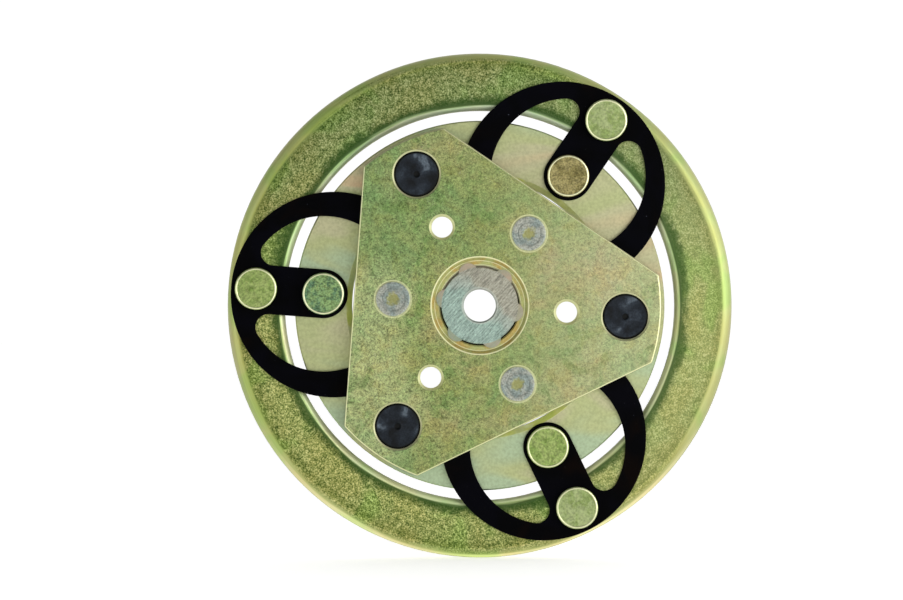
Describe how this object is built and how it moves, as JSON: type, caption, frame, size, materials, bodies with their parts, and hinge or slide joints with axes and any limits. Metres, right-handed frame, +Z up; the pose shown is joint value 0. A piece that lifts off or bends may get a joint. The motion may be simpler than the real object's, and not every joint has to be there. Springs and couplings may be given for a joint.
{
  "type": "electromagnetic clutch armature and hub",
  "caption": "Front half of a compressor's electromagnetic clutch: two coaxial armature rings on flat loop springs, riveted to a triangular hub plate with a splined hub.",
  "frame": {"origin": "on the shaft's axis, in the friction plane of the armature rings", "axes": "+Y along the shaft's axis towards the rotor and the compressor, so the front looks along -Y; +Z up as the clutch stands"},
  "size_m": [0.12, 0.019, 0.12],
  "materials": {
    "zinc_ring": "yellow-chromated zinc, granular",
    "zinc_plate": "yellow-chromated zinc, pale and iridescent",
    "zinc_hub_plate": "yellow-chromated zinc, matt",
    "zinc_rivet": "yellow-chromated zinc",
    "steel_rivet": "plain steel, formed",
    "ground_steel": "ground steel",
    "black_spring": "black phosphated spring steel",
    "rubber": "moulded, matt"
  },
  "bodies": {
    "hub_assembly": {"hub": "ground_steel", "hub_plate": "zinc_hub_plate", "hub_rivet_1": "steel_rivet", "hub_rivet_2": "steel_rivet", "hub_rivet_3": "steel_rivet", "rubber_stop_1": "rubber", "rubber_stop_2": "rubber", "rubber_stop_3": "rubber"},
    "armature": {"outer_ring": "zinc_ring", "inner_ring": "zinc_plate", "outer_rivet_1": "zinc_rivet", "outer_rivet_2": "zinc_rivet", "outer_rivet_3": "zinc_rivet", "inner_rivet_1": "zinc_rivet", "inner_rivet_2": "zinc_rivet", "inner_rivet_3": "zinc_rivet", "spring_1": "black_spring", "spring_2": "black_spring", "spring_3": "black_spring"}
  },
  "joints": [
    {"name": "armature_slide", "type": "slide", "parent": "hub_assembly", "child": "armature", "axis": [0, 1, 0], "range_m": [0, 0.0005], "stiffness_N_per_m": 40000, "springref_m": -0.0008, "deforming": ["spring_1", "spring_2", "spring_3"]}
  ]
}
